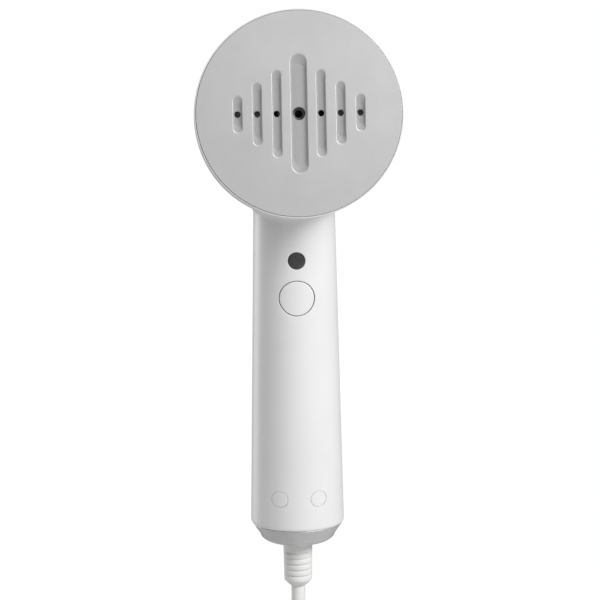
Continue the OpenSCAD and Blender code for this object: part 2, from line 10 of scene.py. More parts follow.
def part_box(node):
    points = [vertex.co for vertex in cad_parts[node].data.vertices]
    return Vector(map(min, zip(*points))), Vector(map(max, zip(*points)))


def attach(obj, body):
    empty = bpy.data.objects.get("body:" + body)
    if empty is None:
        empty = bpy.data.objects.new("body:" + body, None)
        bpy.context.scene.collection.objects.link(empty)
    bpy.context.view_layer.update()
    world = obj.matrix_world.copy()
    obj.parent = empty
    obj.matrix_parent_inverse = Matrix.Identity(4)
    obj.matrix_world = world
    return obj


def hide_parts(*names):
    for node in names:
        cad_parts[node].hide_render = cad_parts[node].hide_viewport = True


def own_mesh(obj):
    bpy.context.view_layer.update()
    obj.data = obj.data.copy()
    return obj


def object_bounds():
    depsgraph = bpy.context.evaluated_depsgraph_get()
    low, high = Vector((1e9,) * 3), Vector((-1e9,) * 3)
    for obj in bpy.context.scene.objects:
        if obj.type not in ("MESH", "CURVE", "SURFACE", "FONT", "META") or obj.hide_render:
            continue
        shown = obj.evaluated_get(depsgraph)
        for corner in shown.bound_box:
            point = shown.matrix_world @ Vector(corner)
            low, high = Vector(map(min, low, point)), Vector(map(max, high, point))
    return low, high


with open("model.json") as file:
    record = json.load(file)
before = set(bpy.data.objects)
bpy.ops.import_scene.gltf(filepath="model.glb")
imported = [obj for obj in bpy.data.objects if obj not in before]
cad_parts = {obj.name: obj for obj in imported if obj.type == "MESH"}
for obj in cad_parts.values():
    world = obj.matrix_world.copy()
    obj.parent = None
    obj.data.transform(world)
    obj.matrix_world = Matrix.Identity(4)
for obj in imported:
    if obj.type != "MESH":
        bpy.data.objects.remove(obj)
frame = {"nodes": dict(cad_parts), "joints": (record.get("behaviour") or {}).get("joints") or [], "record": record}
cad_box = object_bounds()

# ---------------------------------------------------------------- driving sizes
# Lengths are in millimetres until put() takes a piece to its place, in metres.
MM = 0.001
joints = {joint["name"]: joint for joint in frame["joints"]}


def box_mm(node):
    """Lowest and highest corner of a CAD node, in millimetres."""
    return [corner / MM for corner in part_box(node)]


press_axis = joints["button_press"]["axis"]
TILT = math.atan2(press_axis[2], press_axis[1])
plate_low, plate_high = box_mm("steam_plate")
shell_low, shell_high = box_mm("head_shell")
PLATE_R = (plate_high.x - plate_low.x) / 2
HEAD_Z = (plate_high.z + plate_low.z) / 2
FACE_Y = plate_low.y
PLATE_BACK_Y = plate_high.y
HEAD_R = (shell_high.x - shell_low.x) / 2
RIM_Y = shell_low.y
SHELL_BACK_Y = shell_high.y
SHELF_Y = FACE_Y + 5
TANK_FRONT_Y = box_mm("water_tank")[0].y
TANK_BACK_Y = box_mm("water_tank")[1].y

# Handle: distances along its axis are called s, with s = 0 at the middle of the grip
GRIP_R = 22.7
TAPER = 0.02
WALL = 2.2
FOOT_S = -60.4
FOOT_INSET = 0.9
FOOT_EDGE_H = 1.8
CAP_H = 10.7
CAP_LOW_S = FOOT_S - CAP_H
SEAM = 0.12

# Head: distances along its axis are called y
CURVE_START_Y = FACE_Y + 6.4
CURVE_LENGTH = 95.6
CURVE_DROP = 6
HEAD_WALL = 2.9
DOCK_FLOOR_Y = -17
GROOVE_DEPTH = 1.5
GROOVE_DRAFT = 0.6

# Controls on the handle's front
BUTTON_S = 60.6
BUTTON_R = 8.75
LENS_S = 79.9
LENS_R = 4.4
PLUG_S = -43.8
PLUG_X = 9.9
SCREW_PLUG_R = 4

# Cord
CORD_D = 7.2
FOLD_R = 22
HANK_TURNS = 5
HANK_PITCH = 7.4
HANK_Y = 4.8
HANK_TOP_Z = -170
HANK_LOW_Z = -266
TIE_Z = -190

HANDLE = Matrix.Rotation(TILT, 4, "X")
HEAD = Matrix.Translation((0, 0, HEAD_Z)) @ Matrix.Rotation(-math.pi / 2, 4, "X")


def facing_front(x, s):
    """A place on the handle's axis whose z runs out to the handle's front."""
    return HANDLE @ Matrix.Translation((x, 0, s)) @ Matrix.Rotation(math.pi / 2, 4, "X")


def handle_r(s):
    return GRIP_R - TAPER * s


def foot_r(s):
    """Outside radius of the handle's shell, with its rounded foot."""
    rise = min(1, max(0, (s - FOOT_S) / FOOT_EDGE_H))
    return handle_r(s) - FOOT_INSET * (1 - math.sqrt(1 - (1 - rise) ** 2))


def head_r(y):
    past = max(0, y - CURVE_START_Y) / CURVE_LENGTH
    return HEAD_R - CURVE_DROP * past ** 2


def smoothstep(value, low, high):
    part = min(1, max(0, (value - low) / (high - low)))
    return part * part * (3 - 2 * part)


# ---------------------------------------------------------------- modelling
def only(obj):
    """Makes one object the selected and active one."""
    bpy.ops.object.select_all(action="DESELECT")
    obj.select_set(True)
    bpy.context.view_layer.objects.active = obj


def start(name, operator, **settings):
    """Adds a primitive with nothing else selected, and names it."""
    bpy.ops.object.select_all(action="DESELECT")
    operator(**settings)
    obj = bpy.context.object
    obj.name = name
    obj.data.name = name
    return obj


@contextmanager
def edit(obj, mode="VERT"):
    """Edit mode with everything selected."""
    only(obj)
    bpy.ops.object.mode_set(mode="EDIT")
    bpy.ops.mesh.select_mode(type=mode)
    bpy.ops.mesh.select_all(action="SELECT")
    yield
    bpy.ops.object.mode_set(mode="OBJECT")


def pick(obj, kind, test):
    """In edit mode, selects only the faces or edges that pass a test of their middle and themselves."""
    bpy.ops.mesh.select_all(action="DESELECT")
    mesh = bmesh.from_edit_mesh(obj.data)
    for item in getattr(mesh, kind):
        middle = sum((vertex.co for vertex in item.verts), Vector()) / len(item.verts)
        if test(middle, item):
            item.select_set(True)
    bmesh.update_edit_mesh(obj.data)


def move_picked(obj, place):
    """In edit mode, moves each selected vertex to where place() says."""
    mesh = bmesh.from_edit_mesh(obj.data)
    for vertex in mesh.verts:
        if vertex.select:
            vertex.co = place(vertex.co)
    bmesh.update_edit_mesh(obj.data)


def shape(obj, place):
    """Moves each vertex to where place() says."""
    for vertex in obj.data.vertices:
        vertex.co = place(vertex.co)
    obj.data.update()


def modify(obj, kind, **settings):
    """Adds one modifier and applies it."""
    only(obj)
    modifier = obj.modifiers.new(kind.title(), kind)
    for name, value in settings.items():
        setattr(modifier, name, value)
    bpy.ops.object.modifier_apply(modifier=modifier.name)


def cut(obj, *tools, operation="DIFFERENCE"):
    """Boolean cuts (or joins) with tools that are then thrown away."""
    for tool in tools:
        modify(obj, "BOOLEAN", object=tool, operation=operation, solver="EXACT")
        bpy.data.objects.remove(tool)


def bevel(obj, width, angle=30, segments=3):
    """Rounds the edges that turn by more than an angle in degrees."""
    modify(obj, "BEVEL", width=width, segments=segments, limit_method="ANGLE",
           angle_limit=math.radians(angle))


def put(obj, where=Matrix(), smooth=35):
    """Takes a piece modelled in millimetres to its place, in metres, with its origin at the frame's."""
    only(obj)
    obj.matrix_world = Matrix.Scale(MM, 4) @ where
    bpy.ops.object.transform_apply(location=True, rotation=True, scale=True)
    bpy.ops.object.shade_smooth_by_angle(angle=math.radians(smooth))
    modify(obj, "WEIGHTED_NORMAL", keep_sharp=True)
    return obj


def arc(centre, radius, first, last, steps=6):
    """Points of a round stretch of an outline; angles in degrees."""
    angles = [math.radians(first + (last - first) * i / steps) for i in range(steps + 1)]
    return [(centre[0] + radius * math.cos(a), centre[1] + radius * math.sin(a)) for a in angles]


def turned(name, outline, steps=96):
    """Spins a closed outline of (radius, height) points once round Z."""
    obj = start(name, bpy.ops.mesh.primitive_circle_add, vertices=len(outline), fill_type="NOTHING")
    for vertex, (radius, height) in zip(obj.data.vertices, outline):
        vertex.co = (radius, 0, height)
    with edit(obj):
        bpy.ops.mesh.spin(steps=steps, angle=math.tau, center=(0, 0, 0), axis=(0, 0, 1))
        bpy.ops.mesh.select_all(action="SELECT")
        bpy.ops.mesh.remove_doubles(threshold=0.001)
        bpy.ops.mesh.delete_loose(use_faces=False)
        bpy.ops.mesh.select_all(action="SELECT")
        bpy.ops.mesh.normals_make_consistent(inside=False)
    return obj


def rod(name, radius, low, high, y=0, vertices=64):
    """A plain round bar along Z, to cut or build with."""
    return start(name, bpy.ops.mesh.primitive_cylinder_add, vertices=vertices, radius=radius,
                 depth=high - low, location=(0, y, (low + high) / 2))


def block(name, low, high):
    """A box between two corners, with its size in its mesh."""
    low, high = Vector(low), Vector(high)
    obj = start(name, bpy.ops.mesh.primitive_cube_add, size=1, location=(low + high) / 2)
    obj.scale = high - low
    bpy.ops.object.transform_apply(location=True, rotation=False, scale=True)
    return obj


def joined(name, pieces):
    """Joins pieces into the first of them."""
    only(pieces[0])
    for piece in pieces[1:]:
        piece.select_set(True)
    bpy.ops.object.join()
    pieces[0].name = name
    return pieces[0]


def fit(obj, body, material, slot, *nodes):
    """Gives a finished piece its material and its body, and hides the CAD nodes it stands for; slot is not used.
    """
    obj.data.materials.clear()
    obj.data.materials.append(material)
    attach(obj, body)
    if nodes:
        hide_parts(*nodes)
    return obj


# ---------------------------------------------------------------- materials
# Noise hardly leaves the range from here to here
NOISE_LOW = 0.3
NOISE_HIGH = 0.7


def linear(hex_colour):
    """An sRGB hex colour as linear RGBA."""
    parts = [int(hex_colour[i:i + 2], 16) / 255 for i in (0, 2, 4)]
    return [p / 12.92 if p <= 0.04045 else ((p + 0.055) / 1.055) ** 2.4 for p in parts] + [1]


def result(node):
    """The first output that a node has in use."""
    return next(output for output in node.outputs if output.enabled)


def add(tree, kind, inputs=None, to=None, **settings):
    """Adds a node with its settings and links; an input is a value, an output, or a node for its result."""
    node = tree.nodes.new("ShaderNode" + kind)
    for name, value in settings.items():
        setattr(node, name, value)
    for name, value in (inputs or {}).items():
        if isinstance(value, bpy.types.Node):
            value = result(value)
        if isinstance(value, bpy.types.NodeSocket):
            tree.links.new(value, node.inputs[name])
        else:
            node.inputs[name].default_value = value
    if to:
        tree.links.new(result(node), to)
    return node


def finish(name, colour, roughness, metallic=0.0, **sockets):
    """A new Principled material; returns it with its tree, its shader and its place in millimetres."""
    material = bpy.data.materials.new(name)
    material.use_nodes = True
    tree = material.node_tree
    shader = tree.nodes["Principled BSDF"]
    shader.inputs["Base Color"].default_value = linear(colour)
    shader.inputs["Roughness"].default_value = roughness
    shader.inputs["Metallic"].default_value = metallic
    for socket, value in sockets.items():
        shader.inputs[socket.replace("_", " ")].default_value = value
    place = add(tree, "TexCoord").outputs["Object"]
    millimetres = add(tree, "Mapping", {"Vector": place, "Scale": (1000, 1000, 1000)})
    return material, tree, shader, millimetres


def grained(name, colours, gloss, cloud, grain, relief=None, stretch=None, **sockets):
    """A finish whose colour drifts in clouds, and whose roughness and height follow a grain.

    colours and gloss are the two ends of the shade and of the roughness. cloud and grain are each a size in
    millimetres and a noise detail. relief is the bump's strength and its depth in millimetres, and stretch
    scales the grain along X, Y and Z to draw it out into lines.
    """
    material, tree, shader, where = finish(name, colours[0], gloss[0], **sockets)
    clouds = add(tree, "TexNoise", {"Vector": where, "Scale": 1 / cloud[0], "Detail": cloud[1]})
    drift = add(tree, "MapRange", {"Value": clouds, "From Min": NOISE_LOW, "From Max": NOISE_HIGH})
    add(tree, "Mix", {0: drift, 6: linear(colours[0]), 7: linear(colours[1])},
        to=shader.inputs["Base Color"], data_type="RGBA")
    if stretch:
        where = add(tree, "Mapping", {"Vector": where, "Scale": stretch})
    grains = add(tree, "TexNoise", {"Vector": where, "Scale": 1 / grain[0], "Detail": grain[1]})
    add(tree, "MapRange", {"Value": grains, "From Min": NOISE_LOW, "From Max": NOISE_HIGH,
                           "To Min": gloss[0], "To Max": gloss[1]}, to=shader.inputs["Roughness"])
    if relief:
        add(tree, "Bump", {"Height": grains, "Strength": relief[0], "Distance": relief[1] * MM},
            to=shader.inputs["Normal"])
    return material


def satin_abs():
    """White ABS moulded in a spark-eroded tool: soft sheen, a fine even grain, hardly any colour drift."""
    # the real grain is near 0.05 mm; it is drawn at 0.35 mm so that it shows
    return grained("satin_white_abs", ("ececec", "f0f0f0"), (0.38, 0.46), cloud=(30, 2), grain=(0.35, 2),
                   relief=(0.25, 0.01), IOR=1.54)


def blasted_aluminium():
    """Die-cast aluminium, blasted and clear anodised: matt silver, duller in its grooves, where its colour is
    darkened as painted shade.
    """
    # glass beads leave dimples of about 0.1 mm; they are drawn at 0.4 mm
    material = grained("blasted_aluminium", ("d8d8d8", "dedede"), (0.46, 0.56), cloud=(18, 3), grain=(0.4, 2),
                       relief=(0.35, 0.012), metallic=1.0)
    tree = material.node_tree
    colour, rough = (tree.nodes["Principled BSDF"].inputs[name] for name in ("Base Color", "Roughness"))
    blasted, matt = colour.links[0].from_socket, rough.links[0].from_socket
    # the grooves get painted shade and a duller finish, from just below the face down to the grooves' floor, where
    # the holes are drilled
    along = add(tree, "SeparateXYZ", {"Vector": tree.nodes["Mapping"]}).outputs["Y"]
    floor_y = FACE_Y + GROOVE_DEPTH
    sunk = add(tree, "MapRange", {"Value": along, "From Min": FACE_Y + 0.01, "From Max": FACE_Y + 0.16})
    undrilled = add(tree, "MapRange", {"Value": along, "From Min": floor_y + 0.02, "From Max": floor_y + 0.08,
                                       "To Min": 1, "To Max": 0})
    groove_shade_and_dullness = add(tree, "Math", {0: sunk, 1: undrilled}, operation="MULTIPLY")
    # painted shade: the mask darkens the grooves' colour towards d0d0d0; it also makes them duller below
    add(tree, "Mix", {0: groove_shade_and_dullness, 6: blasted, 7: linear("d0d0d0")}, to=colour, data_type="RGBA")
    add(tree, "Math", {0: groove_shade_and_dullness, 1: 0.4, 2: matt}, to=rough, operation="MULTIPLY_ADD")
    return material


def silver_paint():
    """ABS sprayed with silver paint: aluminium flake under a satin lacquer."""
    material, tree, shader, where = finish("silver_paint", "d4d4d5", 0.32, 0.55)
    # flakes are about 0.03 mm; they are drawn at 0.3 mm
    flakes = add(tree, "TexVoronoi", {"Vector": where, "Scale": 1 / 0.3}).outputs["Color"]
    glint = add(tree, "SeparateColor", {"Color": flakes}).outputs["Red"]
    add(tree, "Mix", {0: glint, 6: linear("cfcfd0"), 7: linear("d9d9da")}, to=shader.inputs["Base Color"],
        data_type="RGBA")
    spray = add(tree, "TexNoise", {"Vector": where, "Scale": 1 / 0.5})
    add(tree, "Bump", {"Height": spray, "Strength": 0.15, "Distance": 0.01 * MM}, to=shader.inputs["Normal"])
    return material


def smoked_acrylic():
    """Smoked acrylic, polished: nearly black, with a clear reflection and faint moulding flow."""
    return grained("smoked_acrylic", ("38383a", "434345"), (0.1, 0.16), cloud=(4, 2), grain=(4, 2),
                   IOR=1.49, Coat_Weight=0.3)


def smoky_polycarbonate():
    """Polycarbonate with a grey tint, polished on both sides: water shows through, past slight flow lines."""
    return grained("smoky_polycarbonate", ("c2c4c6", "cccecf"), (0.06, 0.13), cloud=(14, 3), grain=(14, 3),
                   relief=(0.1, 0.05), IOR=1.58, Transmission_Weight=0.85)


def white_pvc():
    """Flexible white PVC, as on mains leads: matt, with the slight unevenness of extruded cable."""
    return grained("white_pvc", ("f0f0ef", "eaeae8"), (0.45, 0.57), cloud=(20, 2), grain=(0.8, 2),
                   relief=(0.3, 0.03), IOR=1.53)


def black_silicone():
    """Black silicone rubber: dusty matt."""
    return grained("black_silicone", ("1b1b1c", "232324"), (0.65, 0.77), cloud=(12.5, 2), grain=(0.5, 2),
                   relief=(0.3, 0.02), IOR=1.41)


def milky_silicone():
    """Cured silicone, milky: matt and a little translucent."""
    return grained("milky_silicone", ("d8d6cf", "c9c6bd"), (0.5, 0.62), cloud=(15, 2), grain=(0.6, 2),
                   relief=(0.3, 0.02), IOR=1.41, Subsurface_Weight=0.1)


def black_phenolic():
    """Black moulded phenolic, as in switches and thermostats: dull gloss, fine flow grain."""
    return grained("black_phenolic", ("1e1c1b", "262423"), (0.35, 0.47), cloud=(10, 2), grain=(0.4, 2),
                   relief=(0.3, 0.01), IOR=1.6)


def natural_nylon():
    """Undyed nylon: cream, waxy, slightly mottled."""
    return grained("natural_nylon", ("dcd6c6", "d0c9b6"), (0.4, 0.52), cloud=(17.5, 2), grain=(0.7, 2),
                   relief=(0.3, 0.02), IOR=1.53)


def wire_pvc():
    """Red-brown PVC wire insulation, extruded: an even sheen."""
    return grained("wire_pvc", ("8f2a1e", "7b2218"), (0.4, 0.52), cloud=(12.5, 2), grain=(0.5, 2),
                   relief=(0.3, 0.01), IOR=1.53)


def clear_epoxy():
    """Cast epoxy of an indicator lamp: clear and glossy, faintly clouded."""
    material, tree, shader, where = finish("clear_epoxy", "e4e6ea", 0.15, IOR=1.5, Transmission_Weight=0.6)
    clouds = add(tree, "TexNoise", {"Vector": where, "Scale": 1 / 1.5})
    add(tree, "MapRange", {"Value": clouds, "From Min": NOISE_LOW, "From Max": NOISE_HIGH,
                           "To Min": 0.1, "To Max": 0.25}, to=shader.inputs["Roughness"])
    return material


def zinc_plated_steel():
    """Zinc-plated steel: bright grey with fine drawing marks along its length."""
    return grained("zinc_plated_steel", ("b3b5b9", "c2c4c7"), (0.28, 0.44), cloud=(6, 2), grain=(1, 4),
                   relief=(0.2, 0.01), stretch=(4, 4, 0.4), metallic=1.0)


def raw_cast_aluminium():
    """Pressure-cast aluminium, left raw: dull grey, grainy, darker in patches where it has been hot."""
    return grained("raw_cast_aluminium", ("8d8c8b", "a9a9a8"), (0.5, 0.7), cloud=(9, 4), grain=(0.8, 4),
                   relief=(0.5, 0.05), metallic=1.0)


def heat_browned_steel():
    """Steel sheath of a heating element: browned by heat, with a dull scale."""
    return grained("heat_browned_steel", ("4f4843", "6d655d"), (0.42, 0.62), cloud=(2.5, 4), grain=(2.5, 4),
                   relief=(0.25, 0.03), metallic=0.9)


def solder_mask():
    """Green solder mask on fibreglass: glossy, with copper tracks showing as paler bands."""
    material, tree, shader, where = finish("green_solder_mask", "14502a", 0.3, IOR=1.5)
    tracks = add(tree, "TexBrick", {
        "Vector": where, "Scale": 0.25, "Mortar Size": 0.06, "Brick Width": 0.9, "Row Height": 0.45,
        "Color1": linear("14502a"), "Color2": linear("1a5a31"), "Mortar": linear("2c7040"),
    }, to=shader.inputs["Base Color"])
    add(tree, "Bump", {"Height": tracks.outputs["Fac"], "Strength": 0.3, "Distance": 0.035 * MM},
        to=shader.inputs["Normal"])
    return material


def enamelled_copper():
    """Enamelled copper wire of a pump's coil: red-gold, ridged by its 0.4 mm turns, with painted shade in the
    creases between turns and painted highlight on their crests.
    """
    material, tree, shader, where = finish("enamelled_copper", "a35a2c", 0.3, 0.85, Coat_Weight=0.4)
    upright = add(tree, "Mapping", {"Vector": where, "Rotation": (-TILT, 0, 0)})
    # a wave texture of scale 0.31 has one band to each unit
    ridges = add(tree, "TexWave", {"Vector": upright, "Scale": 0.31 / 0.4, "Distortion": 0.4},
                 wave_type="BANDS", bands_direction="Z", wave_profile="SIN").outputs["Fac"]
    # painted shade and painted highlight: the colour is darker in the creases between turns and lighter on their
    # crests
    add(tree, "Mix", {0: ridges, 6: linear("8c4a22"), 7: linear("b0683a")}, to=shader.inputs["Base Color"],
        data_type="RGBA")
    add(tree, "Bump", {"Height": ridges, "Strength": 0.8, "Distance": 0.1 * MM}, to=shader.inputs["Normal"])
    return material


def nickel_plated_brass():
    """Nickel-plated brass, as on plug blades: warm bright metal with faint wiping marks."""
    return grained("nickel_plated_brass", ("cfc6b0", "d9d2c1"), (0.16, 0.32), cloud=(5, 2), grain=(1, 3),
                   stretch=(3, 3, 0.2), metallic=1.0)


def finish_cad_nodes(materials):
    """Gives every CAD node that is still shown the material of its slot in the record."""
    for part in frame["record"]["subparts"]:
        node = frame["nodes"][part["node"]]
        for place in node.material_slots:
            place.material = materials[part["material_slot"]]


# ---------------------------------------------------------------- camera, light and floor
def make_camera():
    """A long lens two metres in front of the handle, turned a little to the object's left."""
    turn = math.radians(2.585)
    roll = math.radians(1.18)
    distance = 2.0
    aim = Vector((2.37, -14.66, 54.2)) * MM
    ahead = Vector((math.sin(turn), math.cos(turn), 0))
    level = Vector((math.cos(turn), -math.sin(turn), 0))
    right = level * math.cos(roll) - Vector((0, 0, math.sin(roll)))
    up = level * math.sin(roll) + Vector((0, 0, math.cos(roll)))
    camera = start("camera", bpy.ops.object.camera_add)
    camera.data.lens = 236.06
    camera.data.sensor_width = 36
    turned_to = Matrix((right, up, -ahead)).transposed().to_4x4()
    camera.matrix_world = Matrix.Translation(aim - ahead * distance) @ turned_to
    bpy.context.scene.camera = camera


def add_lamp(name, azimuth, elevation, watts, width, height):
    """A soft oblong lamp two metres from the handle; azimuth is measured from the front towards +X."""
    distance = 2.0
    azimuth, elevation = math.radians(azimuth), math.radians(elevation)
    out = Vector((math.sin(azimuth) * math.cos(elevation), -math.cos(azimuth) * math.cos(elevation),
                  math.sin(elevation)))
    aim = Vector((0, -0.02, 0.06))
    lamp = start(name, bpy.ops.object.light_add, type="AREA", location=aim + out * distance)
    lamp.data.energy = watts
    lamp.data.shape = "RECTANGLE"
    lamp.data.size = width
    lamp.data.size_y = height
    lamp.rotation_euler = (-out).to_track_quat("-Z", "Y").to_euler()


def make_light():
    """White where the camera looks, a grey room for all else, a broad key, a high fill and a lamp behind."""
    world = bpy.data.worlds.new("studio")
    world.use_nodes = True
    tree = world.node_tree
    tree.nodes.remove(tree.nodes["Background"])
    path = add(tree, "LightPath").outputs
    seen = add(tree, "Math", {0: path["Is Camera Ray"], 1: path["Is Transmission Ray"]}, operation="MAXIMUM")
    room = add(tree, "Background", {"Color": (0.2, 0.2, 0.2, 1)})
    white = add(tree, "Background", {"Color": (1, 1, 1, 1), "Strength": 1.02})
    add(tree, "MixShader", {0: seen, 1: room, 2: white}, to=tree.nodes["World Output"].inputs["Surface"])
    bpy.context.scene.world = world
    bpy.context.scene.view_settings.view_transform = "Standard"
    add_lamp("key_lamp", 42, 24, 36, 1.5, 0.7)
    add_lamp("fill_lamp", -55, 40, 6, 0.8, 0.8)
    add_lamp("back_lamp", -130, 0, 8.8, 1.0, 0.7)


def make_floor():
    """A pale floor under the hanging cord, fading into the white room at its edge."""
    floor = start("floor", bpy.ops.mesh.primitive_circle_add, vertices=96, radius=1.6, fill_type="NGON",
                  location=(0, 0, cad_box[0].z - 0.001))
    material = bpy.data.materials.new("pale_floor")
    material.use_nodes = True
    tree = material.node_tree
    tree.nodes.remove(tree.nodes["Principled BSDF"])
    place = add(tree, "TexCoord").outputs["Object"]
    far = add(tree, "VectorMath", {0: place}, operation="LENGTH")
    edge = add(tree, "MapRange", {"Value": far, "From Min": 0.35, "From Max": 1.4},
               interpolation_type="SMOOTHSTEP")
    pale = add(tree, "BsdfDiffuse", {"Color": (0.86, 0.86, 0.86, 1)})
    clear = add(tree, "BsdfTransparent")
    add(tree, "MixShader", {0: edge, 1: pale, 2: clear}, to=tree.nodes["Material Output"].inputs["Surface"])
    floor.data.materials.append(material)


# ---------------------------------------------------------------- cord
# The same points as the part's own routes, in metres
LEAD_ROUTE = [
    (0, 0.0139, -0.0654), (0, 0.0166, -0.0782), (0, 0.0198, -0.0931), (0, 0.0212, -0.0998),
    (-0.0005, 0.0226, -0.1065), (-0.0022, 0.024, -0.115), (-0.0049, 0.0251, -0.124),
    (-0.008, 0.026, -0.133), (-0.011, 0.0265, -0.142), (-0.0134, 0.0268, -0.151),
    (-0.0146, 0.0268, -0.16), (-0.0148, 0.0268, -0.17)
]
TAIL_ROUTE = [
    (0.0167, -0.0062, -0.151), (0.0185, 0.0048, -0.148), (0.0203, 0.0178, -0.1515), (0.022, 0.0273, -0.161),
    (0.0236, 0.0308, -0.174), (0.025, 0.0304, -0.184), (0.0264, 0.0288, -0.194), (0.0276, 0.0266, -0.203),
    (0.0285, 0.025, -0.211), (0.0289, 0.0242, -0.218), (0.029, 0.024, -0.224)
]
PLUG_AT = Vector(TAIL_ROUTE[-1])


def hank_route():
    """The hank's turns in metres: down the rear, round the low fold, up the front, over the top fold."""
    step = 15
    run = 4
    points = []
    for turn in range(HANK_TURNS):
        x = HANK_PITCH * (turn - (HANK_TURNS - 1) / 2)
        last = turn == HANK_TURNS - 1
        for i in range(1, run + 1):
            points.append((x, HANK_Y + FOLD_R, HANK_TOP_Z + (HANK_LOW_Z - HANK_TOP_Z) * i / run))
        for a in range(step, 180 + step, step):
            angle = math.radians(a)
            points.append((x, HANK_Y + FOLD_R * math.cos(angle), HANK_LOW_Z - FOLD_R * math.sin(angle)))
        for i in range(1, run + 1):
            points.append((x, HANK_Y - FOLD_R, HANK_LOW_Z + (HANK_TOP_Z - HANK_LOW_Z) * i / run))
        for a in range(step, 60 if last else 180 + step, step):
            angle = math.radians(a)
            points.append((x + HANK_PITCH * smoothstep(a, 0, 180), HANK_Y - FOLD_R * math.cos(angle),
                           HANK_TOP_Z + FOLD_R * math.sin(angle)))
    return [Vector(point) * MM for point in points]


def flowing(points, steps=4):
    """Catmull-Rom points along a route, with steps between each two of its own."""
    points = [Vector(point) for point in points]
    ends = [points[0] * 2 - points[1], *points, points[-1] * 2 - points[-2]]
    route = []
    for a, b, c, d in zip(ends, ends[1:], ends[2:], ends[3:]):
        for i in range(steps):
            t = i / steps
            route.append(((b * 2) + (c - a) * t + (a * 2 - b * 5 + c * 4 - d) * t ** 2
                          + (b * 3 - a - c * 3 + d) * t ** 3) / 2)
    return route + [points[-1]]


def make_cord(material, plug):
    """One curve for the whole mains lead: out of the relief, through the hank and on to its plug."""
    route = flowing([*LEAD_ROUTE, *hank_route(), *TAIL_ROUTE])
    data = bpy.data.curves.new("mains_cord", "CURVE")
    data.dimensions = "3D"
    data.bevel_depth = CORD_D / 2 * MM
    data.bevel_resolution = 4
    data.use_fill_caps = True
    spline = data.splines.new("POLY")
    spline.points.add(len(route) - 1)
    for point, place in zip(spline.points, route):
        point.co = (*place, 1)
    cord = bpy.data.objects.new("mains_cord", data)
    bpy.context.scene.collection.objects.link(cord)
    fit(cord, "steamer_body", material, "white_rubber", "power_cord", "cord_hank", "cord_tail")


def make_tie(material):
    """A flat rubber strap round the hank, with its end tucked over the front."""
    half_x = HANK_PITCH * (HANK_TURNS - 1) / 2 + CORD_D / 2 + 1.95
    half_y = FOLD_R + CORD_D / 2 + 1.9
    height = 12
    tie = block("hank_strap", (-half_x, -half_y, -height / 2), (half_x, half_y, height / 2))
    with edit(tie, "FACE"):
        pick(tie, "faces", lambda middle, face: abs(middle.z) > height / 2 - 0.1)
        bpy.ops.mesh.delete(type="FACE")
    with edit(tie, "EDGE"):
        pick(tie, "edges", lambda middle, edge: abs(middle.z) < 0.1)
        bpy.ops.mesh.bevel(offset=5.2, segments=8, affect="EDGES")
    modify(tie, "SOLIDIFY", thickness=1.8, offset=-1)
    tab = block("tab", (-9, -half_y - 1.1, -height / 2 + 1), (9, -half_y + 0.6, height / 2 - 1))
    bevel(tab, 0.8)
    cut(tie, tab, operation="UNION")
    bevel(tie, 0.35, angle=50, segments=2)
    put(tie, Matrix.Translation((0, HANK_Y, TIE_Z)))
    return fit(tie, "steamer_body", material, "black_rubber", "hank_tie")


def make_plug(material):
    """A moulded two-blade plug: a ribbed neck that swells into a flattened grip."""
    neck = 14
    length = 38
    half_w = 12
    half_t = 7.5
    outline = [(0, 0), (4.1, 0), *arc((4.1, -0.8), 0.8, 90, 0, 3)]
    for i in range(4):
        z = -2.4 - 2.7 * i
        r = 5 + 0.09 * (-z)
        outline += [(r, z), (r - 0.6, z - 0.35), (r - 0.6, z - 0.95), (r + 0.05, z - 1.3)]
    outline += [(6.5, -neck), (7.6, -neck - 1), (9.2, -neck - 2.8), (10.8, -neck - 5.5), (11.7, -neck - 8.8),
                (half_w, -neck - 12), (half_w - 0.25, -length + 5), (half_w - 0.3, -length + 2)]
    outline += arc((half_w - 1.8, -length + 1.5), 1.5, 0, -90, 4) + [(7, -length), (0, -length)]
    plug = turned("mains_plug", outline, 64)

    def squared(point):
        """Flattens and squares the round section, more so towards the blades."""
        full = smoothstep(-point.z, neck, neck + 9)
        radius = math.hypot(point.x, point.y)
        if radius < 0.01:
            return point
        power = 2 + 2.2 * full
        across, along = abs(point.x) / radius, abs(point.y) / radius
        swell = (across ** power + along ** power) ** (-1 / power)
        thin = 1 + (half_t / half_w - 1) * full
        return Vector((point.x * swell * thin, point.y * swell, point.z))

    shape(plug, squared)
    for side in (-1, 1):
        for i in range(4):
            z = -length + 7 + 2.6 * i
            groove = block("groove", (side * half_t - 0.5, -7, z), (side * half_t + 0.5, 7, z + 1))
            bevel(groove, 0.3)
            cut(plug, groove)
    put(plug, Matrix.Translation(PLUG_AT / MM))
    return fit(plug, "steamer_body", material, "white_rubber", "plug_body")


def make_blades(material):
    """Two flat plug blades with tapered tips and a hole through each."""
    low, high = box_mm("plug_blades")
    centre = (low + high) / 2
    blades = []
    spacing = 12.7
    for side in (-1, 1):
        y = centre.y + side * spacing / 2
        blade = block("plug_blade", (low.x, y - 0.75, low.z), (high.x, y + 0.75, high.z + 2))
        with edit(blade, "EDGE"):
            pick(blade, "edges", lambda middle, edge: middle.z < low.z + 0.1)
            bpy.ops.mesh.bevel(offset=0.45, segments=2, affect="EDGES")
        hole = rod("hole", 1.5, -3, 3)
        hole.rotation_euler.x = math.pi / 2
        hole.location = (centre.x, y, low.z + 4)
        cut(blade, hole)
        bevel(blade, 0.12, segments=2)
        blades.append(blade)
    pair = put(joined("plug_blade_pair", blades))
    return fit(pair, "steamer_body", material, "blade_brass", "plug_blades")


